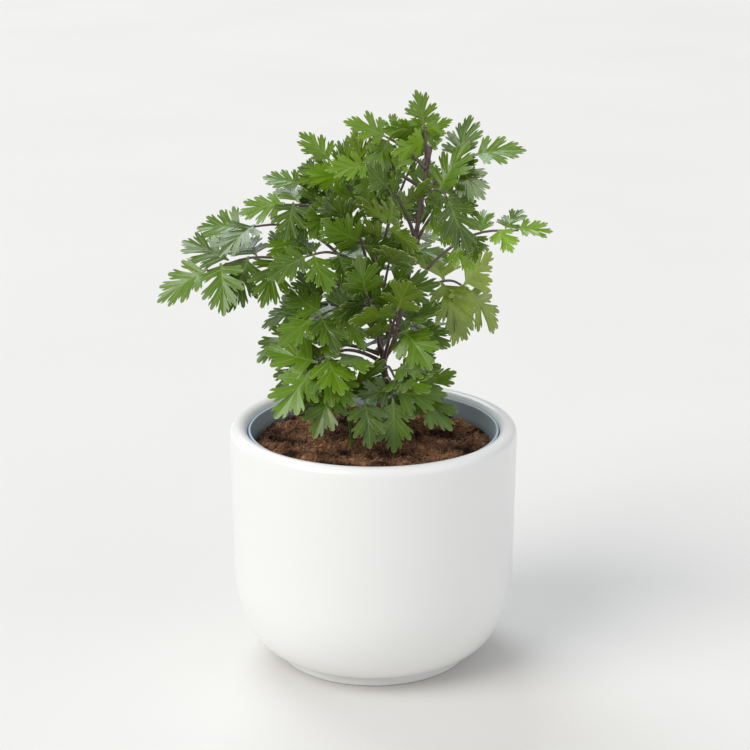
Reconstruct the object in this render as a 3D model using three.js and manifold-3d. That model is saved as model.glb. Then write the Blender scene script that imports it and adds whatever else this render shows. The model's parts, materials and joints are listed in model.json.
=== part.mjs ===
// A potted aralia: a white ceramic cover pot with a nursery liner, soil, forked canes and
// compound leaves. Millimetres, +Z up, origin at the centre of the pot's foot.
// Bearings are in degrees seen from above: 0 is +X (right), 90 is +Y (away from the front),
// 180 is left and 270 is the front.
import * as THREE from 'three';
import { mergeVertices } from 'three/addons/utils/BufferGeometryUtils.js';
import Module from 'manifold-3d';

const wasm = await Module();
wasm.setup();

// ---------------------------------------------------------------- driving dimensions
const POT_DIAMETER = 140;
const POT_HEIGHT = 119;
const POT_WALL = 8.5;
const FOOT_RADIUS = 47;
const FOOT_HEIGHT = 5;
const SHOULDER_HEIGHT = 46;
const POT_FLOOR = 9;
const LINER_TOP = 116.5;
const LINER_WALL = 1.2;
const LINER_FOOT_DIAMETER = 90;
const LINER_PLAY = 0.7;
const SOIL_PLAY = 0.5;
const SOIL_LEVEL = 110;
const ROOT_DEPTH = 22;
const SHOOT_DEPTH = 18;
const GAP = 0.3;
const ROUND_SIDES = 32;

const TRUNK_RADIUS = 3;
const CANE_RADIUS = 1.8;
const PETIOLE_RADIUS = 0.85;
const BLADE_THICKNESS = 0.8;
const BLADE_CLEARANCE = 0.4;
const STALK_STEPS = 4;
const STALK_SIDES = 4;
const LEAST_STALK = 0.72;
const SHOOT_PETIOLE = 0.8;
const LEAF_PETIOLE = 0.6;

// How far the blades lean outward and turn to the light, against 1 for facing straight up.
const OUTWARD_LEAN = 0.25;
const LIGHT_TURN = 0.75;
const LIGHT_SWING = 0.45;

// Leaflets along a leaf, as shares of its length, and their angles to the midrib in degrees.
const FIRST_SEAT = 0.52;
const LAST_SEAT = 0.86;
const SEAT_STAGGER = 0.05;
const FIRST_ANGLE = 80;
const LAST_ANGLE = 52;

// ---------------------------------------------------------------- small helpers
const radians = THREE.MathUtils.degToRad;
const UP = new THREE.Vector3(0, 0, 1);
const FRONT = new THREE.Vector3(0, -1, 0);

function direction(bearing, rise) {
  const level = Math.cos(radians(rise));
  return new THREE.Vector3(
    level * Math.cos(radians(bearing)),
    level * Math.sin(radians(bearing)),
    Math.sin(radians(rise)),
  );
}

function toSolid(geometry) {
  geometry.deleteAttribute('normal');
  geometry.deleteAttribute('uv');
  const merged = mergeVertices(geometry, 1e-4);
  return new wasm.Manifold(new wasm.Mesh({
    numProp: 3,
    vertProperties: new Float32Array(merged.attributes.position.array),
    triVerts: new Uint32Array(merged.index.array),
  }));
}

function toMesh(name, solid, material) {
  const { vertProperties, triVerts } = solid.getMesh();
  const geometry = new THREE.BufferGeometry();
  geometry.setAttribute('position', new THREE.BufferAttribute(vertProperties, 3));
  geometry.setIndex(new THREE.BufferAttribute(triVerts, 1));
  geometry.computeVertexNormals();
  const mesh = new THREE.Mesh(geometry, material);
  mesh.name = name;
  return mesh;
}

// A lathe about the Z axis from an outline of (radius, height) points.
function turned(outline) {
  const geometry = new THREE.LatheGeometry(outline, ROUND_SIDES);
  geometry.rotateX(Math.PI / 2);
  return toSolid(geometry);
}

// A quarter of an ellipse from (r0, z0), leaving level, to (r1, z1), arriving upright.
function shoulder(r0, z0, r1, z1, steps) {
  const points = [];
  for (let i = 0; i <= steps; i += 1) {
    const angle = (i / steps) * (Math.PI / 2);
    const radius = r0 + (r1 - r0) * Math.sin(angle);
    points.push(new THREE.Vector2(radius, z1 - (z1 - z0) * Math.cos(angle)));
  }
  return points;
}

function tube(path, radius, steps, sides) {
  const section = new THREE.Shape();
  for (let i = 0; i < sides; i += 1) {
    const angle = (i / sides) * Math.PI * 2;
    const corner = [radius * Math.cos(angle), radius * Math.sin(angle)];
    if (i === 0) {
      section.moveTo(...corner);
    } else {
      section.lineTo(...corner);
    }
  }
  return toSolid(new THREE.ExtrudeGeometry(section, {
    steps,
    bevelEnabled: false,
    extrudePath: path,
  }));
}

// ---------------------------------------------------------------- pot, liner and soil
const potRadius = POT_DIAMETER / 2;
const innerRadius = potRadius - POT_WALL;
const linerRadius = innerRadius - LINER_PLAY;
const linerFootRadius = LINER_FOOT_DIAMETER / 2;
const linerFloor = POT_FLOOR + GAP;

function potSolid() {
  const lip = POT_WALL / 2;
  const outline = [
    new THREE.Vector2(0, 0),
    new THREE.Vector2(FOOT_RADIUS - 1, 0),
    new THREE.Vector2(FOOT_RADIUS, 1),
    new THREE.Vector2(FOOT_RADIUS - 1.5, FOOT_HEIGHT),
    ...shoulder(FOOT_RADIUS + 1, FOOT_HEIGHT + 1, potRadius - 1, SHOULDER_HEIGHT, 6),
    new THREE.Vector2(potRadius, POT_HEIGHT - lip),
  ];
  for (let i = 1; i <= 5; i += 1) {
    const angle = (i / 6) * Math.PI;
    const radius = potRadius - lip + lip * Math.cos(angle);
    outline.push(new THREE.Vector2(radius, POT_HEIGHT - lip + lip * Math.sin(angle)));
  }
  outline.push(
    new THREE.Vector2(innerRadius, POT_HEIGHT - lip),
    new THREE.Vector2(innerRadius - 1, 40),
    new THREE.Vector2(linerFootRadius + 5, POT_FLOOR + 4),
    new THREE.Vector2(linerFootRadius + 1, POT_FLOOR),
    new THREE.Vector2(0, POT_FLOOR),
  );
  return turned(outline);
}

function linerSolid() {
  return turned([
    new THREE.Vector2(0, linerFloor),
    new THREE.Vector2(linerFootRadius, linerFloor),
    new THREE.Vector2(linerRadius, LINER_TOP),
    new THREE.Vector2(linerRadius - LINER_WALL, LINER_TOP),
    new THREE.Vector2(linerFootRadius - LINER_WALL, linerFloor + LINER_WALL),
    new THREE.Vector2(0, linerFloor + LINER_WALL),
  ]);
}

// The liner's inner radius at a height, less the gap that the soil keeps to it.
function soilRadius(height) {
  const rise = (height - linerFloor) / (LINER_TOP - linerFloor);
  const outer = THREE.MathUtils.lerp(linerFootRadius, linerRadius, rise);
  return outer - LINER_WALL - SOIL_PLAY;
}

function soilSolid(planted) {
  const bottom = linerFloor + LINER_WALL + GAP;
  const heap = turned([
    new THREE.Vector2(0, bottom),
    new THREE.Vector2(soilRadius(bottom) - 0.5, bottom),
    new THREE.Vector2(soilRadius(SOIL_LEVEL - 2), SOIL_LEVEL - 2),
    new THREE.Vector2(soilRadius(SOIL_LEVEL - 2) - 6, SOIL_LEVEL - 0.5),
    new THREE.Vector2(30, SOIL_LEVEL),
    new THREE.Vector2(0, SOIL_LEVEL + 1),
  ]);
  return planted.reduce((soil, stem) => soil.subtract(stem), heap);
}

// ---------------------------------------------------------------- canes
// A stretch of cane leaves its start on a bearing, at a rise, and bows back by some degrees.
function stretch(start, bearing, rise, length, bow) {
  const middle = start.clone().addScaledVector(direction(bearing, rise), length / 2);
  const end = middle.clone().addScaledVector(direction(bearing, rise + bow), length / 2);
  return new THREE.QuadraticBezierCurve3(start, middle, end);
}

const rootPoint = new THREE.Vector3(0, 0, SOIL_LEVEL - ROOT_DEPTH);
const trunk = stretch(rootPoint, 40, 84, 52, -4);
const fork = trunk.getPoint(1);
const CANES = {
  trunk: { path: trunk, radius: TRUNK_RADIUS },
  left: { path: stretch(fork, 165, 80, 62, 14), radius: CANE_RADIUS },
  right: { path: stretch(fork, 15, 76, 116, 6), radius: CANE_RADIUS },
};

// The point on a cane's axis at a height above the soil.
function pointOnCane(cane, heightAboveSoil) {
  const { path } = CANES[cane];
  const bottom = path.getPoint(0).z;
  const top = path.getPoint(1).z;
  const share = (SOIL_LEVEL + heightAboveSoil - bottom) / (top - bottom);
  return path.getPoint(THREE.MathUtils.clamp(share, 0, 1));
}

function caneSolid(margin) {
  const solids = Object.values(CANES).map(({ path, radius }) => tube(path, radius + margin, 6, 6));
  return solids.reduce((whole, next) => whole.add(next));
}

// ---------------------------------------------------------------- leaves
// Half of each leaflet outline, base to tip, as shares of the leaflet's length.
const OUTLINES = {
  broad: [[0, 0.03], [0.54, 0.45], [0.6, 0.25]],
  cut: [[0, 0.03], [0.56, 0.42], [0.56, 0.17]],
  young: [[0, 0.03], [0.56, 0.46], [0.58, 0.22]],
};

// cane and up: where the petiole leaves its cane, in millimetres above the soil.
// bearing and rise: the way it sets out. reach: petiole and midrib together.
// bend: how far the midrib turns down. size: the longest leaflet. pairs: of side leaflets.
// light: how far the blades turn to the front, where it differs from the rest.
// petiole: the share of the reach that is bare stalk, where it differs from the rest.
const LEAVES = {
  left_long: { cane: 'left', up: 60, bearing: 188, rise: 47, reach: 108, bend: 75, size: 29, pairs: 3 },
  left_upper: { cane: 'left', up: 66, bearing: 174, rise: 60, reach: 97, bend: 80, size: 28, pairs: 2 },
  upper_left: { cane: 'left', up: 86, bearing: 182, rise: 62, reach: 66, bend: 70, size: 23, pairs: 3 },
  upper_left_rear: { cane: 'left', up: 90, bearing: 168, rise: 62, reach: 56, bend: 50, size: 20, pairs: 3 },
  upper_left_low: { cane: 'left', up: 78, bearing: 210, rise: 50, reach: 50, bend: 66, size: 23, pairs: 2 },
  top_left: { cane: 'left', up: 88, bearing: 158, rise: 76, reach: 56, bend: 34, size: 21, pairs: 3 },
  top_middle: { cane: 'left', up: 90, bearing: 140, rise: 84, reach: 44, bend: 15, size: 20, pairs: 2 },
  top_inner: { cane: 'left', up: 88, bearing: 30, rise: 74, reach: 50, bend: 15, size: 20, pairs: 2 },
  middle: { cane: 'left', up: 84, bearing: 284, rise: 60, reach: 36, bend: 20, size: 21, pairs: 2 },
  crown_left: { cane: 'right', up: 132, bearing: 190, rise: 48, reach: 26, bend: 20, size: 22, pairs: 2 },
  crown: { cane: 'right', up: 135, bearing: 255, rise: 72, reach: 21, bend: 10, size: 20, pairs: 2 },
  crown_right: { cane: 'right', up: 133, bearing: 95, rise: 48, reach: 18, bend: 20, size: 18, pairs: 2 },
  crown_low: { cane: 'right', up: 122, bearing: 205, rise: 42, reach: 34, bend: 40, size: 22, pairs: 2 },
  upper_right: { cane: 'right', up: 118, bearing: 350, rise: 60, reach: 36, bend: 46, size: 25, pairs: 1 },
  hanging_right: { cane: 'right', up: 119, bearing: 312, rise: 38, reach: 26, bend: 95, size: 27, pairs: 2 },
  inner_right: { cane: 'right', up: 100, bearing: 235, rise: 58, reach: 36, bend: 20, size: 21, pairs: 2 },
  rear_right: { cane: 'right', up: 90, bearing: 22, rise: 70, reach: 40, bend: 40, size: 19, pairs: 2 },
  right_long: {
    cane: 'right', up: 64, bearing: 354, rise: 66, reach: 84, bend: 68, size: 17,
    pairs: 3, petiole: 0.56, light: 0.55,
  },
  pale_right: {
    cane: 'right', up: 64, bearing: 34, rise: 38, reach: 54, bend: 84, size: 32, pairs: 2, light: 1.4,
  },
  small_right: { cane: 'right', up: 54, bearing: 325, rise: 34, reach: 15, bend: 50, size: 19, pairs: 1 },
  dark_middle: { cane: 'left', up: 72, bearing: 232, rise: 66, reach: 40, bend: 0, size: 27, pairs: 1 },
  upright_middle: { cane: 'left', up: 58, bearing: 295, rise: 70, reach: 34, bend: 0, size: 27, pairs: 2 },
  flat_left: { cane: 'left', up: 55, bearing: 215, rise: 42, reach: 46, bend: 65, size: 23, pairs: 2 },
  flat_right: { cane: 'left', up: 52, bearing: 305, rise: 45, reach: 26, bend: 70, size: 27, pairs: 1 },
  fan_left: { cane: 'left', up: 42, bearing: 250, rise: 62, reach: 40, bend: 5, size: 25, pairs: 2 },
  fan_right: { cane: 'left', up: 37, bearing: 290, rise: 60, reach: 38, bend: 5, size: 25, pairs: 2 },
  middle_left: { cane: 'left', up: 50, bearing: 195, rise: 32, reach: 48, bend: 60, size: 24, pairs: 2 },
  low_left: { cane: 'left', up: 38, bearing: 219, rise: 35, reach: 57, bend: 80, size: 28, pairs: 3 },
  low_left_rear: { cane: 'left', up: 42, bearing: 170, rise: 20, reach: 48, bend: 70, size: 24, pairs: 2 },
  rear_left: { cane: 'left', up: 56, bearing: 168, rise: 34, reach: 47, bend: 60, size: 22, pairs: 3 },
  low_right: { cane: 'trunk', up: 26, bearing: 320, rise: 38, reach: 28, bend: 80, size: 26, pairs: 2 },
  middle_right: { cane: 'left', up: 34, bearing: 285, rise: 35, reach: 24, bend: 75, size: 28, pairs: 1 },
  hanging_front: { cane: 'trunk', up: 24, bearing: 280, rise: 48, reach: 46, bend: 115, size: 26, pairs: 2 },
};

// Shoots that rise from the soil on stalks of their own and nod to the front.
const SHOOTS = {
  shoot_left: { x: -9, y: -7, bearing: 235, rise: 83, reach: 80, bend: 135, size: 26, pairs: 2 },
  shoot_middle: { x: -3, y: -10, bearing: 265, rise: 84, reach: 72, bend: 135, size: 24, pairs: 1 },
};

// The back of the plant fills in by the spiral in which the leaves are set along a stem.
const GOLDEN_ANGLE = 137.5;
const REAR_LEAVES = 7;
const REAR_CENTRE = 110;
const REAR_SPREAD = 75;

function rearLeaves() {
  const rows = {};
  for (let i = 0; i < REAR_LEAVES; i += 1) {
    const turn = ((i * GOLDEN_ANGLE) % 360) / 360 - 0.5;
    rows[`rear_${i + 1}`] = {
      cane: i % 2 ? 'right' : 'left',
      up: 36 + i * (i % 2 ? 14 : 7),
      bearing: REAR_CENTRE + REAR_SPREAD * turn,
      rise: 30 + i * 4,
      reach: 46 - i * 2,
      bend: 45,
      size: 26 - i,
      pairs: 2,
      light: -0.3,
    };
  }
  return rows;
}

const YOUNG = ['crown_left', 'crown', 'crown_right', 'right_long', 'rear_right'];
const CUT_ABOVE = 58;

function outlineOf(name, up) {
  if (YOUNG.includes(name)) {
    return 'young';
  }
  return up > CUT_ABOVE ? 'cut' : 'broad';
}

// petiole: the share of the reach that is bare stalk.
function leafPath(start, { bearing, rise, reach, bend, petiole = LEAF_PETIOLE }) {
  const elbow = start.clone().addScaledVector(direction(bearing, rise), reach * petiole);
  const tip = elbow.clone().addScaledVector(direction(bearing, rise - bend), reach * (1 - petiole));
  return new THREE.QuadraticBezierCurve3(start, elbow, tip);
}

// The blades face up and outward, and turn to the light, which comes from the front.
function bladeNormal(tangent, { bearing, light }) {
  const outward = direction(bearing, 0);
  const turn = light ?? LIGHT_TURN - LIGHT_SWING * outward.y;
  const normal = UP.clone().addScaledVector(outward, OUTWARD_LEAN).addScaledVector(FRONT, turn);
  return normal.addScaledVector(tangent, -normal.dot(tangent)).normalize();
}

function bladeSolid(kind, base, heading, normal, length, thickness) {
  const half = OUTLINES[kind];
  const points = half.map(([x, y]) => new THREE.Vector2(x * length, y * length));
  points.push(new THREE.Vector2(length, 0));
  for (const [x, y] of [...half].reverse()) {
    points.push(new THREE.Vector2(x * length, -y * length));
  }
  const geometry = new THREE.ExtrudeGeometry(new THREE.Shape(points), {
    depth: thickness,
    bevelEnabled: false,
  });
  geometry.translate(0, 0, -thickness / 2);
  const across = normal.clone().cross(heading);
  geometry.applyMatrix4(new THREE.Matrix4().makeBasis(heading, across, normal).setPosition(base));
  geometry.computeBoundingBox();
  const box = geometry.boundingBox.clone();
  return { solid: toSolid(geometry), box };
}

// Small changes of a leaflet's pose, the least first, tried until it is clear of the rest.
const TRIALS = [];
for (const share of [1, 0.85, 0.7, 0.55]) {
  for (const lift of [0, 18, -18, 36, -36]) {
    for (const swing of [0, 14, -14, 28, -28]) {
      TRIALS.push({ share, lift, swing });
    }
  }
}

const obstacles = [];

function isClear({ solid, box }, owner) {
  return obstacles.every((other) => other.stalkOf === owner
    || !box.intersectsBox(other.box)
    || solid.intersect(other.solid).isEmpty());
}

function clearOfPot(box) {
  const reach = Math.hypot(
    Math.max(Math.abs(box.min.x), Math.abs(box.max.x)),
    Math.max(Math.abs(box.min.y), Math.abs(box.max.y)),
  );
  return box.min.z > (reach > innerRadius - 4 ? POT_HEIGHT + 1 : SOIL_LEVEL + 3);
}

function boxOf(solid) {
  const { min, max } = solid.boundingBox();
  return new THREE.Box3(new THREE.Vector3(...min), new THREE.Vector3(...max));
}

// A leaflet in the first pose that is clear of everything placed before, or null.
function placeLeaflet(owner, kind, base, heading, normal, length) {
  for (const { share, lift, swing } of TRIALS) {
    const aim = heading.clone().applyAxisAngle(normal, radians(swing));
    const hinge = normal.clone().cross(aim);
    aim.applyAxisAngle(hinge, radians(lift));
    const face = normal.clone().applyAxisAngle(hinge, radians(lift));
    const pose = [kind, base, aim, face, length * share];
    const room = bladeSolid(...pose, BLADE_THICKNESS + 2 * BLADE_CLEARANCE);
    if (clearOfPot(room.box) && isClear(room, owner)) {
      obstacles.push(room);
      return bladeSolid(...pose, BLADE_THICKNESS).solid;
    }
  }
  return null;
}

function largestPiece(solid) {
  return solid.decompose().reduce((best, piece) => (piece.volume() > best.volume() ? piece : best));
}

// A petiole on the nearest bearing to the wanted one that is clear of the others. Petioles that
// start close together clasp each other at the base, so a later one loses a little there.
function placePetiole(owner, start, leaf) {
  for (const aside of [0, 5, -5, 10, -10, 15, -15, 20, -20, 25, -25]) {
    const path = leafPath(start, { ...leaf, bearing: leaf.bearing + aside });
    const stalk = tube(path, PETIOLE_RADIUS, STALK_STEPS, STALK_SIDES);
    const room = tube(path, PETIOLE_RADIUS + GAP, STALK_STEPS, STALK_SIDES);
    const box = boxOf(room);
    const nearby = obstacles.filter((other) => box.intersectsBox(other.box));
    const freed = nearby.reduce((rest, other) => rest.subtract(other.solid), stalk);
    const kept = largestPiece(freed.subtract(caneRoom));
    if (kept.volume() > LEAST_STALK * stalk.volume()) {
      obstacles.push({ stalkOf: owner, solid: room, box });
      return { path, stalk: kept };
    }
  }
  throw new Error(`no clear way for the petiole of ${owner}`);
}

// Where the leaflets sit: side pairs, a little staggered and swept forward toward the tip,
// and one at the end.
function leafletSeats(pairs) {
  const seats = [{ along: 0.99, angle: 0 }];
  for (let i = pairs - 1; i >= 0; i -= 1) {
    const toward = pairs > 1 ? i / (pairs - 1) : 0.5;
    const along = THREE.MathUtils.lerp(FIRST_SEAT, LAST_SEAT, toward);
    const angle = THREE.MathUtils.lerp(FIRST_ANGLE, LAST_ANGLE, toward);
    seats.push({ along: along + SEAT_STAGGER, angle }, { along, angle: -angle });
  }
  return seats;
}

function leafSolid(owner, { leaf, path, stalk }) {
  const kind = outlineOf(owner, leaf.up ?? 0);
  const blades = leafletSeats(leaf.pairs).map(({ along, angle }) => {
    const tangent = path.getTangent(along);
    const normal = bladeNormal(tangent, leaf);
    const heading = tangent.clone().applyAxisAngle(normal, radians(angle));
    return placeLeaflet(owner, kind, path.getPoint(along), heading, normal, leaf.size);
  });
  return largestPiece(blades.filter(Boolean).reduce((whole, blade) => whole.add(blade), stalk));
}

// ---------------------------------------------------------------- materials
function material(color, roughness) {
  return new THREE.MeshStandardMaterial({ color, roughness, metalness: 0 });
}

function leafColor(name) {
  if (name === 'pale_right') {
    return '#7c9a35';
  }
  return YOUNG.includes(name) ? '#4f8a26' : '#3b6b2a';
}

// ---------------------------------------------------------------- assembly
const potted = new THREE.Group();
const caneRoom = caneSolid(GAP);

const plan = {};
for (const [name, shoot] of Object.entries(SHOOTS)) {
  const leaf = { ...shoot, petiole: SHOOT_PETIOLE };
  const start = new THREE.Vector3(leaf.x, leaf.y, SOIL_LEVEL - SHOOT_DEPTH);
  plan[name] = { leaf, ...placePetiole(name, start, leaf) };
}
for (const [name, leaf] of Object.entries({ ...LEAVES, ...rearLeaves() })) {
  plan[name] = { leaf, ...placePetiole(name, pointOnCane(leaf.cane, leaf.up), leaf) };
}
obstacles.push({ solid: caneRoom, box: boxOf(caneRoom) });

const shootRoom = obstacles.filter(({ stalkOf }) => stalkOf in SHOOTS).map(({ solid }) => solid);
potted.add(toMesh('pot', potSolid(), material('#f4f4f1', 0.3)));
potted.add(toMesh('liner', linerSolid(), material('#7c8a94', 0.55)));
potted.add(toMesh('soil', soilSolid([caneRoom, ...shootRoom]), material('#5a3424', 0.95)));
potted.add(toMesh('canes', caneSolid(0), material('#6b554d', 0.7)));
for (const [name, place] of Object.entries(plan)) {
  potted.add(toMesh(`leaf_${name}`, leafSolid(name, place), material(leafColor(name), 0.4)));
}

export default potted;
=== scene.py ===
"""A potted aralia: white ceramic pot, nursery liner, soil, forked canes and compound leaves."""

import json
import math
import random

import bmesh
import bpy
import numpy as np
from mathutils import Matrix, Vector, noise


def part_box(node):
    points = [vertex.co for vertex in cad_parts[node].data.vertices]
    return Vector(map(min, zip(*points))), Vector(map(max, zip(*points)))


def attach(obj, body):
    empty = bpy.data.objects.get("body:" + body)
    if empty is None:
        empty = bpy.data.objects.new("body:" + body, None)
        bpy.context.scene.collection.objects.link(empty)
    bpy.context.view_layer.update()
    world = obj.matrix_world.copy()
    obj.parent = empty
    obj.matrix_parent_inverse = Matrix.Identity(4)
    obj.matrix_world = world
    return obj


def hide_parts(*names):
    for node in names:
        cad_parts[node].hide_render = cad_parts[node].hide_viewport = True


bl_info = {
    "name": "Potted Aralia",
    "version": (1, 0, 0),
    "blender": (4, 5, 0),
    "location": "View3D > Sidebar > Aralia",
    "description": "Dresses the frame of a potted aralia with its glazed pot, soil and foliage",
    "category": "Object",
}

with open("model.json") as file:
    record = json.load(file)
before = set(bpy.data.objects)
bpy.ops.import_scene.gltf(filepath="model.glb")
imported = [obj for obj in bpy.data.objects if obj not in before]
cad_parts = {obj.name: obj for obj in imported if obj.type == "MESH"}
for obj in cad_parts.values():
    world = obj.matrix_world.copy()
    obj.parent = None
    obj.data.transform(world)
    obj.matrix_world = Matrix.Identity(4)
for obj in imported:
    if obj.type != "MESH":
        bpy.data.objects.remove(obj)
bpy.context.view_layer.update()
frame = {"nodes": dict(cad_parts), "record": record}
MM = 0.001
UP = Vector((0, 0, 1))
FRONT = Vector((0, -1, 0))

POT_LOW, POT_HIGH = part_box("pot")
LINER_LOW, LINER_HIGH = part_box("liner")
SOIL_LOW, SOIL_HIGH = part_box("soil")
LEAF_NODES = sorted(name for name in frame["nodes"] if name.startswith("leaf_"))
LEAF_SLOTS = {part["node"]: part["material_slot"] for part in frame["record"]["subparts"]}

# The camera stands in front of the plant, a little above it, and looks down on it.
CAMERA_PLACE = (0.7 * MM, -945.7 * MM, 430.4 * MM)
CAMERA_PITCH = 16.9
CAMERA_LENS = 97.9
CAMERA_SENSOR = 36
FLOOR_SIZE = 40


# ------------------------------------------------------------------ settings
class AraliaPotSettings(bpy.types.PropertyGroup):
    """Sizes and colours of the pot and its liner."""

    radius: bpy.props.FloatProperty(
        name="Radius", description="Outer radius at the rim",
        default=POT_HIGH.x, unit="LENGTH")
    height: bpy.props.FloatProperty(
        name="Height", description="Height of the rim above the table",
        default=POT_HIGH.z, unit="LENGTH")
    wall: bpy.props.FloatProperty(
        name="Wall", description="Thickness of the wall at the rim",
        default=8.5 * MM, unit="LENGTH")
    foot_radius: bpy.props.FloatProperty(
        name="Foot Radius", description="Radius of the short foot",
        default=47 * MM, unit="LENGTH")
    foot_height: bpy.props.FloatProperty(
        name="Foot Height", description="Height of the short foot",
        default=5 * MM, unit="LENGTH")
    shoulder_height: bpy.props.FloatProperty(
        name="Shoulder Height", description="Height at which the rounded bottom meets the wall",
        default=46 * MM, unit="LENGTH")
    floor: bpy.props.FloatProperty(
        name="Floor", description="Thickness of the pot's bottom",
        default=9 * MM, unit="LENGTH")
    liner_wall: bpy.props.FloatProperty(
        name="Liner Wall", description="Thickness of the nursery liner",
        default=1.2 * MM, unit="LENGTH")
    liner_flare: bpy.props.FloatProperty(
        name="Liner Flare", description="How far below its edge the liner starts to flare",
        default=5 * MM, unit="LENGTH")
    liner_foot: bpy.props.FloatProperty(
        name="Liner Foot", description="Radius of the nursery liner's bottom",
        default=45 * MM, unit="LENGTH")
    glaze: bpy.props.FloatVectorProperty(
        name="Glaze", description="Colour of the glazed ceramic",
        default=(0.86, 0.86, 0.845), subtype="COLOR")
    plastic: bpy.props.FloatVectorProperty(
        name="Liner Plastic", description="Colour of the nursery liner",
        default=(0.5, 0.61, 0.7), subtype="COLOR")


class AraliaSoilSettings(bpy.types.PropertyGroup):
    """Texture of the potting mix."""

    roughness: bpy.props.FloatProperty(
        name="Unevenness", description="Height of the soil's lumps",
        default=2.0 * MM, unit="LENGTH")
    crumbs: bpy.props.IntProperty(
        name="Crumbs", description="Loose crumbs lying on the soil", default=1800)
    fibres: bpy.props.IntProperty(
        name="Fibres", description="Loose coir fibres lying on the soil", default=2600)
    # Dark soil: the mix's own darker tone, together with painted shade laid in the bump's
    # hollows between the clods.
    dark_soil_and_shade: bpy.props.FloatVectorProperty(
        name="Dark Soil", description="Colour in the hollows",
        default=(0.022, 0.009, 0.006), subtype="COLOR")
    light: bpy.props.FloatVectorProperty(
        name="Light Soil", description="Colour of the crumbs and fibres",
        default=(0.42, 0.22, 0.12), subtype="COLOR")


class AraliaPlantSettings(bpy.types.PropertyGroup):
    """Proportions and colours of the canes and leaves."""

    petiole_radius: bpy.props.FloatProperty(
        name="Petiole Radius", description="Radius of a leaf stalk at its base",
        default=1.0 * MM, unit="LENGTH")
    fold: bpy.props.FloatProperty(
        name="Fold", description="How deeply a leaflet folds along its midrib", default=0.2)
    droop: bpy.props.FloatProperty(
        name="Droop", description="How far a leaflet's tip hangs, as a share of its length",
        default=0.1)
    green: bpy.props.FloatVectorProperty(
        name="Green", description="Colour of a grown blade",
        default=(0.07, 0.137, 0.003), subtype="COLOR")
    young: bpy.props.FloatVectorProperty(
        name="Young Green", description="Colour of a young blade",
        default=(0.12, 0.22, 0.004), subtype="COLOR")
    pale: bpy.props.FloatVectorProperty(
        name="Pale Green", description="Colour of the oldest, palest blade",
        default=(0.21, 0.29, 0.02), subtype="COLOR")
    bark: bpy.props.FloatVectorProperty(
        name="Bark", description="Colour of the canes",
        default=(0.13, 0.085, 0.075), subtype="COLOR")


# ------------------------------------------------------------------ helpers
def select_only(*pieces):
    bpy.ops.object.select_all(action="DESELECT")
    for piece in pieces:
        piece.select_set(True)
    bpy.context.view_layer.objects.active = pieces[0]


def finish_piece(piece, name, slot, material, *nodes):
    """Puts a finished piece on the frame, in place of its CAD nodes."""
    select_only(piece)
    bpy.ops.object.transform_apply(location=True, rotation=True, scale=True)
    piece.name = name
    piece.data.name = name
    piece.data.materials.clear()
    piece.data.materials.append(material)
    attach(piece, "root")
    if nodes:
        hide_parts(*nodes)


def coordinates(mesh):
    co = np.empty(len(mesh.vertices) * 3)
    mesh.vertices.foreach_get("co", co)
    return co.reshape(-1, 3)


def set_coordinates(mesh, co):
    mesh.vertices.foreach_set("co", np.asarray(co, dtype=np.float32).ravel())
    mesh.update()


def set_attribute(mesh, name, values):
    layer = mesh.attributes.get(name) or mesh.attributes.new(name, "FLOAT", "POINT")
    layer.data.foreach_set("value", np.asarray(values, dtype=np.float32))


def turned_piece(outline, steps):
    """Spins an outline of (radius, height) points, from axis to axis, into a closed body."""
    bpy.ops.object.select_all(action="DESELECT")
    bpy.ops.mesh.primitive_circle_add(vertices=len(outline), radius=1)
    piece = bpy.context.object
    for vertex, (radius, height) in zip(piece.data.vertices, outline):
        vertex.co = (radius, 0, height)
    bpy.ops.object.mode_set(mode="EDIT")
    mesh = bmesh.from_edit_mesh(piece.data)
    ends = {0, len(outline) - 1}
    for edge in mesh.edges:
        edge.select_set({vertex.index for vertex in edge.verts} == ends)
    bpy.ops.mesh.delete(type="EDGE")
    bpy.ops.mesh.select_all(action="SELECT")
    bpy.ops.mesh.spin(steps=steps, angle=math.tau, center=(0, 0, 0), axis=(0, 0, 1))
    bpy.ops.mesh.select_all(action="SELECT")
    bpy.ops.mesh.remove_doubles(threshold=1e-6)
    bpy.ops.mesh.normals_make_consistent(inside=False)
    bpy.ops.object.mode_set(mode="OBJECT")
    bpy.ops.object.shade_smooth_by_angle(angle=math.radians(38))
    return piece


def arc(centre, radii, start, end, steps):
    """Points of an elliptic arc in (radius, height), angles in degrees from level."""
    points = []
    for i in range(steps + 1):
        angle = math.radians(start + (end - start) * i / steps)
        points.append((centre[0] + radii[0] * math.cos(angle),
                       centre[1] + radii[1] * math.sin(angle)))
    return points


def straight(start, end, steps):
    """Points from start to end, without the start itself."""
    return [tuple(a + (b - a) * i / steps for a, b in zip(start, end))
            for i in range(1, steps + 1)]


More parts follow.
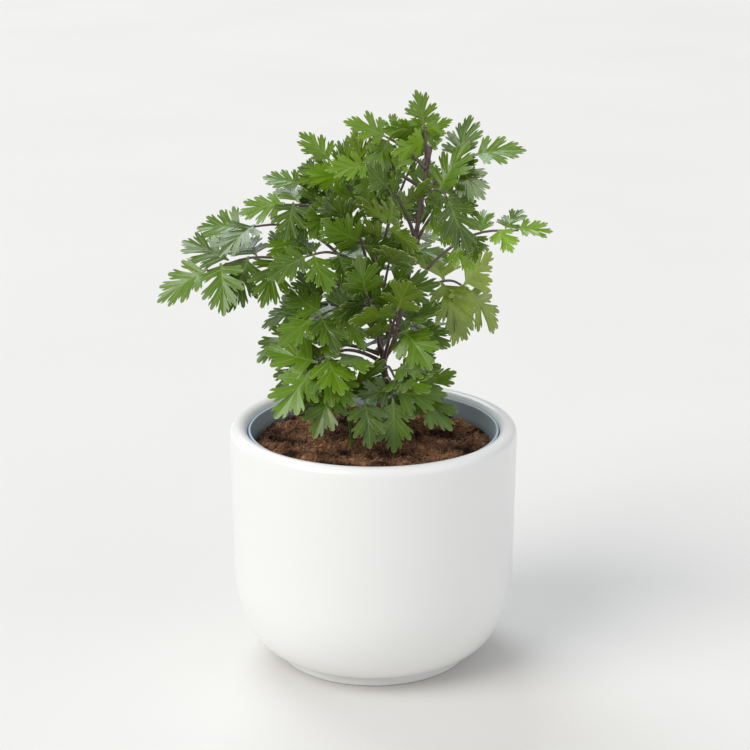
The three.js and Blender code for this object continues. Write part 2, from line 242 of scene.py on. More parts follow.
# ------------------------------------------------------------------ materials
class Shader:
    """A material with one Principled shader and short calls for adding nodes."""

    def __init__(self, name, **sockets):
        self.material = bpy.data.materials.new(name)
        self.material.use_nodes = True
        self.tree = self.material.node_tree
        self.shader = self.tree.nodes["Principled BSDF"]
        for socket, value in sockets.items():
            self.shader.inputs[socket.replace("_", " ")].default_value = value

    def add(self, kind, inputs=None, **settings):
        node = self.tree.nodes.new(kind)
        for key, value in settings.items():
            setattr(node, key, value)
        for key, value in (inputs or {}).items():
            self.put(value, node.inputs[key])
        return node

    def put(self, value, socket):
        if isinstance(value, bpy.types.NodeSocket):
            self.tree.links.new(value, socket)
        else:
            socket.default_value = value

    def place(self):
        return self.add("ShaderNodeTexCoord").outputs["Object"]

    def noise(self, scale, detail=4.0, roughness=0.55):
        return self.add("ShaderNodeTexNoise", {
            "Vector": self.place(), "Scale": scale, "Detail": detail,
            "Roughness": roughness}).outputs["Fac"]

    def attribute(self, name):
        return self.add("ShaderNodeAttribute", attribute_name=name).outputs["Fac"]

    def spread(self, value, low, high, to_low=0.0, to_high=1.0):
        return self.add("ShaderNodeMapRange", {
            "Value": value, "From Min": low, "From Max": high,
            "To Min": to_low, "To Max": to_high}).outputs["Result"]

    def math(self, operation, a, b):
        return self.add("ShaderNodeMath", {0: a, 1: b}, operation=operation).outputs[0]

    def mix(self, share, a, b):
        node = self.add("ShaderNodeMix", data_type="RGBA")
        self.put(share, node.inputs["Factor"])
        for value, socket in ((a, node.inputs[6]), (b, node.inputs[7])):
            self.put(value if isinstance(value, bpy.types.NodeSocket) else (*value, 1), socket)
        return node.outputs[2]

    def finish(self, color, roughness=None, height=None, distance=0.1 * MM, strength=0.4):
        self.put(color, self.shader.inputs["Base Color"])
        if roughness is not None:
            self.put(roughness, self.shader.inputs["Roughness"])
        if height is not None:
            bump = self.add("ShaderNodeBump", {
                "Height": height, "Distance": distance, "Strength": strength})
            self.put(bump.outputs["Normal"], self.shader.inputs["Normal"])
        return self.material


def shade(color, factor):
    return tuple(min(1.0, channel * factor) for channel in color)


def glaze_material(color):
    shader = Shader("white_glaze", Coat_Weight=0.35, Coat_Roughness=0.12)
    clouds = shader.noise(18, 3)
    specks = shader.noise(900, 2)
    tone = shader.mix(shader.spread(clouds, -0.5, 1.5), shade(color, 0.95), color)
    gloss = shader.spread(clouds, -0.5, 1.5, 0.22, 0.38)
    ripple = shader.math("ADD", shader.noise(45, 2), shader.math("MULTIPLY", specks, 0.08))
    return shader.finish(tone, gloss, ripple, 0.3 * MM, 0.12)


def liner_material(color):
    shader = Shader("liner_plastic")
    grain = shader.noise(700, 3)
    tone = shader.mix(shader.spread(shader.noise(40, 3), 0.3, 0.7), shade(color, 0.85), color)
    return shader.finish(tone, shader.spread(grain, 0.3, 0.7, 0.45, 0.6), grain, 0.1 * MM, 0.3)


def soil_material(name, dark_soil_and_shade, light, lift):
    shader = Shader(name, Specular_IOR_Level=0.2)
    lumps = shader.noise(170, 8, 0.7)
    grit = shader.noise(1500, 4, 0.7)
    patches = shader.noise(55, 2)
    share = shader.math("ADD", shader.math("MULTIPLY", lumps, 0.7),
                        shader.math("MULTIPLY", grit, 0.5))
    share = shader.math("ADD", share, shader.math("MULTIPLY", patches, 1.3))
    # Dark in the bump's hollows, light on its lumps: partly the mix's own patchy tone, partly
    # painted shade between the clods.
    tone = shader.mix(shader.spread(share, 1.14 - lift, 1.5 - lift), dark_soil_and_shade, light)
    return shader.finish(tone, 0.95, shader.math("ADD", lumps, grit), 0.9 * MM, 0.9)


def bark_material(color):
    shader = Shader("cane_bark")
    streaks = shader.add("ShaderNodeTexNoise", {
        "Vector": shader.add("ShaderNodeMapping", {
            "Vector": shader.place(), "Scale": (900, 900, 120)}).outputs["Vector"],
        "Scale": 1.0, "Detail": 5.0}).outputs["Fac"]
    tone = shader.mix(shader.spread(streaks, 0.35, 0.65), shade(color, 0.6),
                      shade(color, 1.7))
    low = shader.attribute("collar")
    tone = shader.mix(low, tone, (0.36, 0.27, 0.17))
    return shader.finish(tone, 0.62, streaks, 0.25 * MM, 0.7)


def leaf_material(name, blade, stalk, dusk):
    """Blade colours with pale veins and margins, a lighter underside and a stalk colour."""
    shader = Shader(name, Specular_IOR_Level=0.26, Coat_Weight=0.5, Coat_Roughness=0.2,
                    Sheen_Weight=0.08, Sheen_Roughness=0.35, Sheen_Tint=(0.8, 0.92, 1.0, 1))
    tint = shader.attribute("tint")
    mottle = shader.noise(90, 5)
    tone = shader.mix(tint, shade(blade, dusk), shade(blade, 1.7))
    tone = shader.mix(shader.spread(mottle, 0.4, 0.7, 0, 0.5), tone, shade(blade, 1.7))
    under = (blade[0] * 1.7 + 0.02, blade[1] * 1.4 + 0.02, blade[2] * 1.8 + 0.006)
    tone = shader.mix(shader.math("MULTIPLY", shader.attribute("under"), 0.75), tone, under)
    pale = (0.42, 0.52, 0.2)
    veins = shader.spread(shader.attribute("rib"), 0.001, 0.011, 0.22, 0)
    tone = shader.mix(veins, tone, pale)
    rims = shader.spread(shader.attribute("rim"), 0.0, 0.02, 0.4, 0)
    tone = shader.mix(rims, tone, pale)
    tone = shader.mix(shader.attribute("stalk"), tone, stalk)
    gloss = shader.spread(mottle, 0.3, 0.7, 0.24, 0.38)
    waves = shader.math("MULTIPLY", shader.noise(150, 2), 2.5)
    relief = shader.math("SUBTRACT", shader.noise(300, 2), shader.math("MULTIPLY", veins, 3.0))
    return shader.finish(tone, gloss, shader.math("ADD", relief, waves), 0.25 * MM, 0.5)


# ------------------------------------------------------------------ reading the frame
# Notch and lobe corners of the three flat leaflet outlines, as shares of the length.
OUTLINES = {
    "broad": ((0.60, 0.25), (0.54, 0.45)),
    "cut": ((0.56, 0.17), (0.56, 0.42)),
    "young": ((0.58, 0.22), (0.56, 0.46)),
}
PLATE_HALF = 0.4 * MM


class Leaflet:
    """Where a flat leaflet lies: its base, heading, upper normal, length and outline."""

    def __init__(self, kind, tip, heading, normal, length):
        self.kind = kind
        self.heading = heading
        self.normal = normal
        self.across = normal.cross(heading)
        self.length = length
        self.tip = tip - normal * PLATE_HALF
        self.base = self.tip - heading * length

    def local(self, point):
        away = point - self.base
        return away.dot(self.heading), away.dot(self.across), away.dot(self.normal)

    def holds(self, point):
        along, aside, above = self.local(point)
        inside = -MM < along < self.length * 1.02 and abs(aside) < self.length / 2
        return inside and abs(above) < PLATE_HALF * 1.15


def leaflet_on(face):
    """The leaflet that a flat face is a side of, found by the even edges at its tip."""
    points = [loop.vert.co for loop in face.loops]
    count = len(points)
    if count < 7:
        return None
    best = None
    for i in range(count):
        tip, left, right = points[i], points[i - 1], points[(i + 1) % count]
        left_lobe, right_lobe = points[i - 2], points[(i + 2) % count]
        side = (tip - left).length
        if abs(side - (tip - right).length) > 0.03 * side:
            continue
        lobes = (left - left_lobe).length, (right - right_lobe).length
        middle = (left + right) / 2
        depth = (tip - middle).length
        width = (left - right).length / 2
        for kind, ((notch_x, notch_y), (lobe_x, lobe_y)) in OUTLINES.items():
            length = depth / (1 - notch_x)
            lobe_side = math.hypot(lobe_x - notch_x, lobe_y - notch_y) * length
            wrong = abs(width - notch_y * length) + min(
                abs(lobe - lobe_side) for lobe in lobes)
            if wrong < 0.03 * length and (best is None or wrong < best[0]):
                heading = (tip - middle).normalized()
                best = (wrong, Leaflet(kind, tip, heading, face.normal.copy(), length))
    return best and best[1]


def clusters(points, reach):
    """Middles of the groups of points that lie within reach of each other."""
    left = list(points)
    middles = []
    while left:
        group = [left.pop()]
        for member in group:
            near = [p for p in left if (p - member).length < reach]
            left = [p for p in left if (p - member).length >= reach]
            group.extend(near)
        middles.append(sum(group, Vector()) / len(group))
    return middles


def chained(middles, start):
    """The points in the order met by always going to the nearest one left."""
    left = list(middles)
    chain = [start]
    left.remove(start)
    while left:
        chain.append(min(left, key=lambda p: (p - chain[-1]).length))
        left.remove(chain[-1])
    return chain


def frame_solid(node):
    """The node's solid with its triangles joined and its flat sides whole."""
    solid = bmesh.new()
    solid.from_mesh(frame["nodes"][node].data)
    bmesh.ops.remove_doubles(solid, verts=solid.verts, dist=1e-6)
    bmesh.ops.dissolve_limit(solid, angle_limit=math.radians(0.4),
                             verts=solid.verts, edges=solid.edges)
    solid.normal_update()
    return solid


def read_leaf(node):
    """The leaflets of a CAD leaf and the line of its stalk, base to tip."""
    solid = frame_solid(node)
    facing = UP + FRONT * 0.6
    faces = sorted(solid.faces, key=lambda face: -face.normal.dot(facing))
    leaflets = []
    for face in faces:
        leaflet = leaflet_on(face)
        known = leaflet and any((leaflet.tip - other.tip).length < 1.4 * MM
                                for other in leaflets)
        if leaflet and not known:
            leaflets.append(leaflet)
    stalk = [vertex.co.copy() for vertex in solid.verts
             if not any(leaflet.holds(vertex.co) for leaflet in leaflets)]
    middles = clusters(stalk, 2.2 * MM)
    solid.free()
    if not leaflets or len(middles) < 2:
        return leaflets, middles
    bases = sum((leaflet.base for leaflet in leaflets), Vector()) / len(leaflets)
    start = max(middles, key=lambda p: (p - bases).length)
    line = chained(middles, start)
    tail = max(leaflets, key=lambda leaflet: (leaflet.base - start).length)
    if (tail.base - line[-1]).length > 1.5 * MM:
        line.append(tail.base)
    return leaflets, line


# ------------------------------------------------------------------ patterns
def smooth_line(points, count):
    """Evenly spaced points on a Catmull-Rom curve through the given ones."""
    padded = [points[0] * 2 - points[1], *points, points[-1] * 2 - points[-2]]
    fine = []
    for i in range(1, len(padded) - 2):
        a, b, c, d = padded[i - 1:i + 3]
        for step in range(12):
            t = step / 12
            fine.append(0.5 * (2 * b + (c - a) * t + (2 * a - 5 * b + 4 * c - d) * t ** 2
                               + (3 * b - a - 3 * c + d) * t ** 3))
    fine.append(points[-1])
    lengths = np.concatenate([[0], np.cumsum([(q - p).length
                                              for p, q in zip(fine, fine[1:])])])
    wanted = np.linspace(0, lengths[-1], count)
    spread = np.array([[float(x) for x in p] for p in fine])
    return np.stack([np.interp(wanted, lengths, spread[:, k]) for k in range(3)], 1)


def stalk_pattern(rings, sides):
    """A straight stalk one unit long and thick, cut into rings, to be led along a line."""
    bpy.ops.object.select_all(action="DESELECT")
    bpy.ops.mesh.primitive_cylinder_add(vertices=sides, radius=1, depth=1, location=(0, 0, 0.5))
    pattern = bpy.context.object
    bpy.ops.object.transform_apply(location=True, rotation=True, scale=True)
    bpy.ops.object.mode_set(mode="EDIT")
    mesh = bmesh.from_edit_mesh(pattern.data)
    for edge in mesh.edges:
        edge.select_set(abs(edge.verts[0].co.z - edge.verts[1].co.z) > 0.5)
    bpy.ops.mesh.subdivide(number_cuts=rings - 2)
    bpy.ops.object.mode_set(mode="OBJECT")
    bpy.ops.object.shade_smooth_by_angle(angle=math.radians(60))
    return pattern


def lead_along(co, line, radii):
    """Moves a straight stalk's points onto a line, without twist."""
    tangents = np.gradient(line, axis=0)
    tangents /= np.linalg.norm(tangents, axis=1, keepdims=True)
    side = np.cross(tangents[0], [0.3, 0.2, 1.0])
    sides = []
    for tangent in tangents:
        side = side - tangent * side.dot(tangent)
        side = side / np.linalg.norm(side)
        sides.append(side)
    sides = np.array(sides)
    ups = np.cross(tangents, sides)
    ring = np.clip(np.rint(co[:, 2] * (len(line) - 1)).astype(int), 0, len(line) - 1)
    radius = np.asarray(radii)[ring][:, None]
    return line[ring] + (sides[ring] * co[:, :1] + ups[ring] * co[:, 1:2]) * radius


# Lobes from the leaflet's base to its tip: where they leave the midrib, angle in degrees, reach
# and half spread in degrees. The last one is the lobe at the tip. Lengths are shares of the
# leaflet's own.
LOBES = {
    "broad": ((0.17, 62, 0.45, 24), (0.36, 36, 0.52, 20), (0.48, 0, 0.52, 22)),
    "cut": ((0.13, 62, 0.42, 18), (0.28, 45, 0.50, 16), (0.43, 26, 0.48, 14),
            (0.54, 0, 0.46, 17)),
    "young": ((0.12, 66, 0.42, 21), (0.27, 46, 0.52, 17), (0.42, 28, 0.48, 15),
              (0.54, 0, 0.46, 19)),
}
# How far the blade reaches in the cut between two lobes, and how far the lobes tilt.
SINUS = {"broad": 0.3, "cut": 0.2, "young": 0.24}
CRINKLE = {"broad": 0.22, "cut": 0.24, "young": 0.3}
# Round a lobe's end, from one side to the other: position, and reach as a share of the lobe's.
TEETH = ((-1, 0.55), (-0.9, 0.8), (-0.66, 0.9), (-0.5, 0.72), (-0.24, 0.95), (0, 1.0),
         (0.24, 0.95), (0.5, 0.72), (0.66, 0.9), (0.9, 0.8), (1, 0.55))
RING_SHARES = (0, 0.3, 0.58, 0.82, 1.0)
VARIANTS = 3
BLADE_THICKNESS = 0.014
PETIOLE_RINGS = 18
PETIOLE_SIDES = 8
# How far a petiole's base reaches into its cane.
PETIOLE_ROOT = 1.2 * MM


def lobe_rays(kind):
    """Rays round one half of a leaflet: origin on the midrib, angle, reach, lobe, position."""
    lobes = LOBES[kind]
    rays = [(0.0, 90, 0.012, 0, -1.0), (lobes[0][0] * 0.6, 80, 0.035, 0, -1.0)]
    for number, (origin, angle, reach, spread) in enumerate(lobes):
        last = number == len(lobes) - 1
        for position, share in TEETH:
            if last and position > 0:
                continue
            rays.append((origin, angle - spread * position, reach * share, number, position))
        if not last:
            following = lobes[number + 1]
            middle = (origin + following[0]) / 2
            rays.append((middle, (angle + following[1]) / 2, reach * SINUS[kind], number, 1.0))
    return rays


def leaflet_pattern(kind, variant, fold, droop):
    """A lobed, toothed blade one unit long, folded along its midrib, base at the origin."""
    half = lobe_rays(kind)
    rays = [(ray, 1) for ray in half] + [(ray, -1) for ray in reversed(half[:-1])]
    lobes = LOBES[kind]
    bpy.ops.object.select_all(action="DESELECT")
    bpy.ops.mesh.primitive_grid_add(x_subdivisions=len(rays) - 1,
                                    y_subdivisions=len(RING_SHARES) - 1, size=1)
    pattern = bpy.context.object
    mesh = pattern.data
    grid = coordinates(mesh)
    column = np.rint((grid[:, 0] + 0.5) * (len(rays) - 1)).astype(int)
    row = np.rint((grid[:, 1] + 0.5) * (len(RING_SHARES) - 1)).astype(int)
    chance = random.Random(f"{kind} {variant}")
    lifts = {(n, side): chance.uniform(-1, 1) for n in range(len(lobes)) for side in (1, -1)}
    places, ribs, rims = [], [], []
    for i, k in zip(column, row):
        (origin, angle, reach, number, position), side = rays[i]
        out = reach * RING_SHARES[k]
        turn = math.radians(angle)
        x = origin + out * math.cos(turn)
        y = side * out * math.sin(turn)
        aside = out * math.sin(math.radians(abs(angle - lobes[number][1])))
        rise = fold * (0.6 * abs(y) + 0.2 * aside) - droop * (x ** 2 + 2.6 * y ** 2)
        rise += CRINKLE[kind] * out * lifts[number, side] * (number < len(lobes) - 1)
        places.append((x, y, rise))
        ribs.append(min(abs(y), aside) if number < len(lobes) - 1 else abs(y))
        rims.append(reach * (1 - RING_SHARES[k]))
    set_coordinates(mesh, places)
    set_attribute(mesh, "rib", ribs)
    set_attribute(mesh, "rim", rims)
    bpy.ops.object.mode_set(mode="EDIT")
    bpy.ops.mesh.select_all(action="SELECT")
    bpy.ops.mesh.remove_doubles(threshold=1e-5)
    bpy.ops.mesh.normals_make_consistent(inside=False)
    bpy.ops.object.mode_set(mode="OBJECT")
    if sum(polygon.normal.z * polygon.area for polygon in mesh.polygons) < 0:
        mesh.flip_normals()
    top = len(mesh.vertices)
    thick = pattern.modifiers.new("thickness", "SOLIDIFY")
    thick.thickness = BLADE_THICKNESS
    thick.offset = -1
    bpy.ops.object.modifier_apply(modifier=thick.name)
    mesh = pattern.data
    set_attribute(mesh, "under", [float(i >= top) for i in range(len(mesh.vertices))])
    bpy.ops.object.shade_smooth_by_angle(angle=math.radians(70))
    return pattern


def copy_of(pattern):
    """A copy with a mesh of its own."""
    piece = pattern.copy()
    piece.data = pattern.data.copy()
    bpy.context.collection.objects.link(piece)
    return piece


def discard(*patterns):
    for pattern in patterns:
        bpy.data.objects.remove(pattern)


# ------------------------------------------------------------------ pieces
class ARALIA_OT_pot(bpy.types.Operator):
    """Turn the glazed pot, with its short foot, rounded shoulder and soft lip"""

    bl_idname = "aralia.pot"
    bl_label = "Pot"

    def execute(self, context):
        pot = context.scene.aralia_pot
        lip = pot.wall / 2
        inside = pot.radius - pot.wall
        shoulder_rise = pot.shoulder_height - pot.foot_height - MM
        outline = [(0, 0), (pot.foot_radius - 2 * MM, 0)]
        outline += arc((pot.foot_radius - 1.2 * MM, 1.2 * MM), (1.2 * MM, 1.2 * MM), -70, 0, 5)
        outline += arc((pot.foot_radius + 0.4 * MM, pot.foot_height - 0.4 * MM),
                       (1.6 * MM, 1.4 * MM), 200, 110, 6)
        outline += arc((pot.foot_radius + MM, pot.shoulder_height),
                       (pot.radius - 2 * MM - pot.foot_radius, shoulder_rise), -88, 0, 28)
        outline += straight(outline[-1], (pot.radius, pot.height - lip), 12)
        outline += arc((pot.radius - lip, pot.height - lip), (lip, lip), 10, 170, 18)
        outline += straight((inside, pot.height - lip), (inside - MM, 40 * MM), 8)
        outline += straight(outline[-1], (pot.liner_foot + 5 * MM, pot.floor + 4 * MM), 6)
        outline += [(pot.liner_foot + MM, pot.floor), (0, pot.floor)]
        piece = turned_piece(outline, 144)
        finish_piece(piece, "glazed_pot", "pot", glaze_material(pot.glaze), "pot")
        return {"FINISHED"}


class ARALIA_OT_liner(bpy.types.Operator):
    """Turn the thin nursery liner, with its rounded top edge"""

    bl_idname = "aralia.liner"
    bl_label = "Nursery Liner"

    def execute(self, context):
        pot = context.scene.aralia_pot
        edge = pot.liner_wall / 2
        top = LINER_HIGH.z
        outer = LINER_HIGH.x
        rim = pot.radius - pot.wall - 0.4 * MM
        floor = LINER_LOW.z
        neck = top - pot.liner_flare
        outline = [(0, floor), (pot.liner_foot, floor)]
        outline += straight(outline[-1], (outer, neck), 16)
        outline += straight(outline[-1], (rim, top - edge), 4)
        outline += arc((rim - edge, top - edge), (edge, edge), 15, 180, 8)
        outline += straight(outline[-1], (outer - pot.liner_wall, neck), 4)
        outline += straight(outline[-1], (pot.liner_foot - pot.liner_wall,
                                          floor + pot.liner_wall), 16)
        outline += [(0, floor + pot.liner_wall)]
        piece = turned_piece(outline, 128)
        finish_piece(piece, "nursery_liner", "liner", liner_material(pot.plastic), "liner")
        return {"FINISHED"}


SOIL_FOOT = 42 * MM
FIBRE_RINGS = 7
FIBRE_SIDES = 3
# How far the loose crumbs and fibres keep from the liner.
CRUMB_MARGIN = 2 * MM
FIBRE_MARGIN = 7 * MM


def soil_height(x, y, unevenness):
    """Height of the soil's surface: gentle heaps, clods and grit, lower beside the liner."""
    place = Vector((x, y, 0))
    heaps = noise.noise(place * 38) * 0.8
    clods = noise.hetero_terrain(place * 120, 0.9, 2.2, 4, 0.3) * 0.45
    grit = noise.noise(place * 800) * 0.3
    radius = math.hypot(x, y)
    edge = max(0.0, (radius - SOIL_HIGH.x * 0.86) / (SOIL_HIGH.x * 0.14))
    middle = SOIL_HIGH.z - 1.5 * MM
    return middle + unevenness * (heaps + clods + grit - 0.9 * edge ** 2)


class ARALIA_OT_soil(bpy.types.Operator):
    """Heap the potting mix in the liner and strew it with crumbs and coir fibres"""

    bl_idname = "aralia.soil"
    bl_label = "Soil"

    def execute(self, context):
        soil = context.scene.aralia_soil
        rim = SOIL_HIGH.x - 0.6 * MM
        top = SOIL_HIGH.z
        outline = [(0, SOIL_LOW.z), (SOIL_FOOT, SOIL_LOW.z)]
        outline += straight(outline[-1], (rim - 0.6 * MM, top - 6 * MM), 10)
        outline += straight(outline[-1], (rim, top - 2 * MM), 3)
        outline += straight(outline[-1], (0, top - 2 * MM), 96)
        piece = turned_piece(outline, 256)
        co = coordinates(piece.data)
        for point in co:
            if point[2] > top - 3 * MM:
                point[2] = soil_height(point[0], point[1], soil.roughness)
        set_coordinates(piece.data, co)
        finish_piece(piece, "potting_soil", "soil",
                     soil_material("moist_soil", soil.dark_soil_and_shade, soil.light, 0.0), "soil")
        self.strew_crumbs(soil, rim)
        self.strew_fibres(soil, rim)
        return {"FINISHED"}

    def strew_crumbs(self, soil, rim):
        """Scatters turned and stretched copies of one small lump."""
        chance = random.Random(11)
        bpy.ops.object.select_all(action="DESELECT")
        bpy.ops.mesh.primitive_ico_sphere_add(subdivisions=1, radius=1)
        crumb = bpy.context.object
        shape = coordinates(crumb.data)
        faces = np.array([polygon.vertices[:] for polygon in crumb.data.polygons])
        points, sides = [], []
        for i in range(soil.crumbs):
            angle = chance.uniform(0, math.tau)
            radius = (rim - CRUMB_MARGIN) * math.sqrt(chance.random())
            x, y = radius * math.cos(angle), radius * math.sin(angle)
            size = MM * (0.35 + 1.5 * chance.random() ** 3)
            turn = Matrix.Rotation(chance.uniform(0, math.tau), 3, Vector(
                (chance.gauss(0, 1), chance.gauss(0, 1), chance.gauss(0, 1))).normalized())
            stretch = np.array([chance.uniform(0.6, 1.5) for _ in range(3)])
            lump = (shape * stretch * size) @ np.array(turn)
            lump += [x, y, soil_height(x, y, soil.roughness) + size * 0.25]
            points.append(lump)
            sides.append(faces + i * len(shape))
        discard(crumb)
        self.strewn("soil_crumbs", points, sides, soil, 0.04)

    def strew_fibres(self, soil, rim):
        """Scatters curled, slightly raised copies of one thin stalk."""
        chance = random.Random(23)
        pattern = stalk_pattern(FIBRE_RINGS, FIBRE_SIDES)
        shape = coordinates(pattern.data)
        faces = [polygon.vertices[:] for polygon in pattern.data.polygons]
        points, sides = [], []
        for i in range(soil.fibres):
            angle = chance.uniform(0, math.tau)
            radius = (rim - FIBRE_MARGIN) * math.sqrt(chance.random())
            start = Vector((radius * math.cos(angle), radius * math.sin(angle), 0))
            heading = chance.uniform(0, math.tau)
            length = chance.uniform(3, 12) * MM
            curl = chance.uniform(-1.6, 1.6)
            line = []
            for step in range(FIBRE_RINGS):
                line.append(start.copy())
                turn = heading + curl * step / (FIBRE_RINGS - 1)
                start += Vector((math.cos(turn), math.sin(turn), 0)) * length / (FIBRE_RINGS - 1)
            lift = chance.uniform(0.1, 1.2) * (1 + 2.2 * (radius / rim) ** 5) * MM
            path = np.array([[p.x, p.y, soil_height(p.x, p.y, soil.roughness)
                              + 0.15 * MM + lift * math.sin(math.pi * step / (FIBRE_RINGS - 1))]
                             for step, p in enumerate(line)])
            thick = chance.uniform(0.08, 0.24) * MM
            points.append(lead_along(shape, path, [thick] * FIBRE_RINGS))
            sides.append([[v + i * len(shape) for v in face] for face in faces])
        discard(pattern)
        self.strewn("soil_fibres", points, sides, soil, 0.12)

    def strewn(self, name, points, sides, soil, lift):
        """One loose layer on the soil, made of many small pieces; lift makes it lighter."""
        mesh = bpy.data.meshes.new(name)
        faces = [list(map(int, face)) for group in sides for face in group]
        mesh.from_pydata(np.concatenate(points).tolist(), [], faces)
        mesh.update()
        piece = bpy.data.objects.new(name, mesh)
        bpy.context.collection.objects.link(piece)
        material = soil_material(name, soil.dark_soil_and_shade, soil.light, lift)
        finish_piece(piece, name, "soil", material)


def cane_lines():
    """The lines of the two canes, each from the root to its top."""
    solid = frame_solid("canes")
    middles = clusters([vertex.co.copy() for vertex in solid.verts], 3.4 * MM)
    solid.free()
    root = min(middles, key=lambda p: p.z)
    top = max(middles, key=lambda p: p.z)
    split = [p for p in middles if p.z < top.z * 0.85 and p.z > root.z]
    left_top = max(split, key=lambda p: p.z - 3 * p.x)
    lines = []
    for end in (top, left_top):
        line = [end]
        while line[-1] is not root:
            lower = [p for p in middles if p.z < line[-1].z - 2 * MM]
            line.append(min(lower, key=lambda p: (p - line[-1]).length_squared
                            / (line[-1].z - p.z)))
        lines.append(line[::-1])
    return lines


CANE_RINGS = 90
CANE_SIDES = 16
CANE_RADIUS = 1.45 * MM
# How far above the soil the trunk, twice as thick as a cane, narrows to one.
TRUNK_HEIGHT = 27 * MM
SCAR_SPACING = 5.5 * MM
# Blender's vector noise starts from the clock unless it is given a seed.
BARK_SEED = 7


class ARALIA_OT_canes(bpy.types.Operator):
    """Grow the trunk and its canes, knobbly at the root and ringed by old leaf scars"""

    bl_idname = "aralia.canes"
    bl_label = "Canes"

    def execute(self, context):
        plant = context.scene.aralia_plant
        soil_line = SOIL_HIGH.z
        noise.seed_set(BARK_SEED)
        stems = []
        for line in cane_lines():
            pattern = stalk_pattern(CANE_RINGS, CANE_SIDES)
            path = smooth_line(line, CANE_RINGS)
            radii = []
            for k, place in enumerate(path):
                above = max(0.0, place[2] - soil_line)
                trunk = 1 / (1 + math.exp((above - TRUNK_HEIGHT) / (4 * MM)))
                radius = CANE_RADIUS * (1 + trunk) * (1 - 0.25 * k / CANE_RINGS)
                scar = abs(math.sin(above / SCAR_SPACING * math.pi)) ** 24
                collar = math.exp(-(above / (5 * MM)) ** 2)
                radii.append(radius * (1 + 0.14 * scar + 0.35 * collar))
            co = lead_along(coordinates(pattern.data), path, radii)
            for point in co:
                place = Vector(point)
                low = math.exp(-(max(0.0, place.z - soil_line) / (8 * MM)) ** 2)
                point += np.array(noise.noise_vector(place * 500)) * (0.12 + 0.4 * low) * MM
            set_coordinates(pattern.data, co)
            low = np.exp(-(np.maximum(0, co[:, 2] - soil_line) / (9 * MM)) ** 2)
            set_attribute(pattern.data, "collar", low * 0.8)
            stems.append(pattern)
        select_only(*stems)
        bpy.ops.object.join()
        finish_piece(stems[0], "woody_canes", "canes", bark_material(plant.bark), "canes")
        return {"FINISHED"}


class ARALIA_OT_leaves(bpy.types.Operator):
    """Grow every compound leaf on its stalk, leaflet by leaflet"""

    bl_idname = "aralia.leaves"
    bl_label = "Leaves"

    def execute(self, context):
        plant = context.scene.aralia_plant
        patterns = {(kind, variant): leaflet_pattern(kind, variant, plant.fold, plant.droop)
                    for kind in LOBES for variant in range(VARIANTS)}
        stalk = stalk_pattern(PETIOLE_RINGS, PETIOLE_SIDES)
        count = len(stalk.data.vertices)
        for name in ("stalk", "rib", "rim"):
            set_attribute(stalk.data, name, [1.0] * count)
        bark, green = shade(plant.bark, 0.95), (0.1, 0.26, 0.03)
        materials = {
            "leaf_green": leaf_material("grown_leaf", plant.green, bark, 0.5),
            "leaf_young": leaf_material("young_leaf", plant.young, shade(bark, 1.2), 0.58),
            "leaf_pale": leaf_material("pale_leaf", plant.pale, bark, 0.7),
        }
        shoot_material = leaf_material("shoot_leaf", plant.green, green, 0.5)
        for number, node in enumerate(LEAF_NODES):
            piece = self.leaf(node, number, patterns, stalk, plant)
            slot = LEAF_SLOTS[node]
            material = shoot_material if "shoot" in node else materials[slot]
            finish_piece(piece, node.replace("leaf_", "aralia_leaf_"), slot, material, node)
        discard(stalk, *patterns.values())
        return {"FINISHED"}

    def leaf(self, node, number, patterns, stalk, plant):
        """One compound leaf: the stalk led along its line, and a blade on every leaflet."""
        chance = random.Random(100 + number)
        leaflets, line = read_leaf(node)
        if not leaflets or len(line) < 2:
            raise RuntimeError(f"no leaflets or stalk found on {node}")
        line[0] = line[0] - (line[1] - line[0]).normalized() * PETIOLE_ROOT
        petiole = copy_of(stalk)
        path = smooth_line(line, PETIOLE_RINGS)
        radii = np.linspace(plant.petiole_radius, plant.petiole_radius * 0.5, PETIOLE_RINGS)
        radii[:2] *= (1.35, 1.15)
        set_coordinates(petiole.data, lead_along(coordinates(stalk.data), path, radii))
        pieces = [petiole]
        for leaflet in leaflets:
            blade = copy_of(patterns[leaflet.kind, chance.randrange(VARIANTS)])
            co = coordinates(blade.data)
            roll = chance.uniform(-0.12, 0.12)
            sway = chance.uniform(-0.09, 0.09)
            co[:, 2] += roll * co[:, 1]
            co[:, 1] += sway * co[:, 0] ** 2
            axes = np.array([leaflet.heading, leaflet.across, leaflet.normal])
            set_coordinates(blade.data, np.array(leaflet.base) + co @ axes * leaflet.length)
            set_attribute(blade.data, "tint", [chance.random()] * len(co))
            pieces.append(blade)
        select_only(*pieces)
        bpy.ops.object.join()
        return petiole


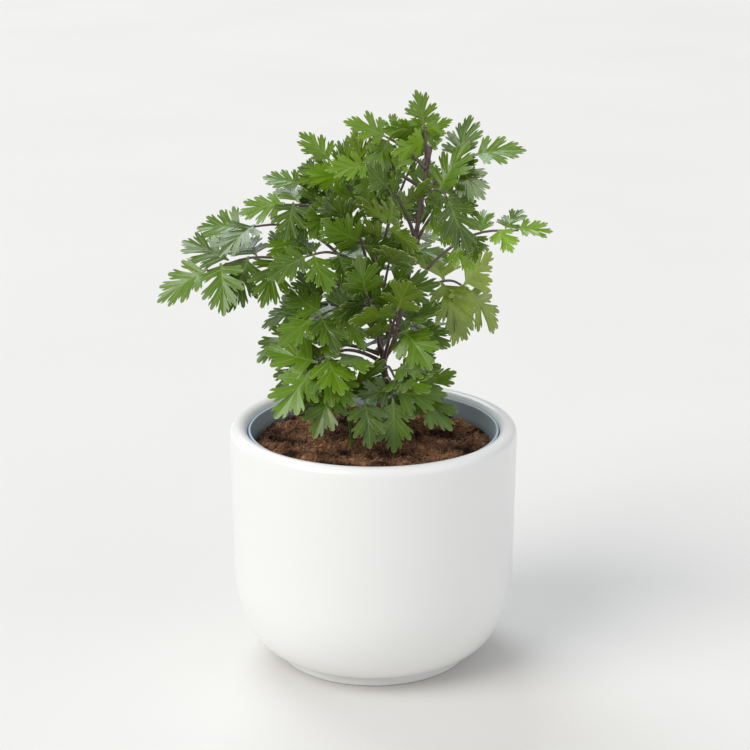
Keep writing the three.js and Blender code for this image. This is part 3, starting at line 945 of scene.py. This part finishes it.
class ARALIA_OT_stage(bpy.types.Operator):
    """Set the pale floor, the soft lights and the camera"""

    bl_idname = "aralia.stage"
    bl_label = "Stage"

    def execute(self, context):
        bpy.ops.object.select_all(action="DESELECT")
        bpy.ops.mesh.primitive_plane_add(size=FLOOR_SIZE, location=(0, 0, 0))
        floor = context.object
        floor.name = "pale_floor"
        shader = Shader("pale_floor", Roughness=0.7)
        tone = shader.mix(shader.spread(shader.noise(3, 2), 0.3, 0.7),
                          (0.74, 0.725, 0.7), (0.76, 0.745, 0.72))
        floor.data.materials.append(shader.finish(tone))

        world = bpy.data.worlds.new("soft_room")
        context.scene.world = world
        world.use_nodes = True
        background = world.node_tree.nodes["Background"]
        background.inputs["Color"].default_value = (0.95, 0.97, 1.0, 1)
        background.inputs["Strength"].default_value = 0.48
        context.scene.view_settings.view_transform = "Standard"

        self.lamp("window", (-1.6, -1.1, 1.7), softness=42, strength=1.9,
                  color=(1.0, 0.985, 0.955))
        self.lamp("fill", (1.7, -0.9, 1.0), softness=60, strength=0.5,
                  color=(0.95, 0.97, 1.0))
        self.lamp("back", (-0.7, 1.5, 1.8), softness=36, strength=1.15,
                  color=(0.88, 0.95, 1.0))

        view = bpy.data.cameras.new("camera")
        view.lens = CAMERA_LENS
        view.sensor_width = CAMERA_SENSOR
        camera = bpy.data.objects.new("camera", view)
        context.collection.objects.link(camera)
        camera.location = CAMERA_PLACE
        camera.rotation_euler = (math.radians(90 - CAMERA_PITCH), 0, 0)
        context.scene.camera = camera
        return {"FINISHED"}

    def lamp(self, name, place, softness, strength, color):
        """A far lamp that shines from place to the origin, softness degrees wide."""
        light = bpy.data.lights.new(name, "SUN")
        light.angle = math.radians(softness)
        light.energy = strength
        light.color = color
        lamp = bpy.data.objects.new(name, light)
        bpy.context.collection.objects.link(lamp)
        lamp.location = place
        lamp.rotation_euler = (-Vector(place)).to_track_quat("-Z", "Y").to_euler()


class ARALIA_PT_panel(bpy.types.Panel):
    """Lists the pieces of the plant"""

    bl_label = "Potted Aralia"
    bl_idname = "ARALIA_PT_panel"
    bl_space_type = "VIEW_3D"
    bl_region_type = "UI"
    bl_category = "Aralia"

    def draw(self, context):
        for operator in OPERATORS:
            self.layout.operator(operator.bl_idname)
        for settings in (context.scene.aralia_pot, context.scene.aralia_soil,
                         context.scene.aralia_plant):
            box = self.layout.box()
            for name in settings.bl_rna.properties.keys():
                if name not in ("rna_type", "name"):
                    box.prop(settings, name)


SETTINGS = (AraliaPotSettings, AraliaSoilSettings, AraliaPlantSettings)
OPERATORS = (ARALIA_OT_pot, ARALIA_OT_liner, ARALIA_OT_soil, ARALIA_OT_canes,
             ARALIA_OT_leaves, ARALIA_OT_stage)


def register():
    for cls in (*SETTINGS, *OPERATORS, ARALIA_PT_panel):
        bpy.utils.register_class(cls)
    bpy.types.Scene.aralia_pot = bpy.props.PointerProperty(type=AraliaPotSettings)
    bpy.types.Scene.aralia_soil = bpy.props.PointerProperty(type=AraliaSoilSettings)
    bpy.types.Scene.aralia_plant = bpy.props.PointerProperty(type=AraliaPlantSettings)


def unregister():
    del bpy.types.Scene.aralia_plant
    del bpy.types.Scene.aralia_soil
    del bpy.types.Scene.aralia_pot
    for cls in reversed((*SETTINGS, *OPERATORS, ARALIA_PT_panel)):
        bpy.utils.unregister_class(cls)


def main():
    register()
    bpy.ops.aralia.pot()
    bpy.ops.aralia.liner()
    bpy.ops.aralia.soil()
    bpy.ops.aralia.canes()
    bpy.ops.aralia.leaves()
    bpy.ops.aralia.stage()


if __name__ == "__main__":
    main()
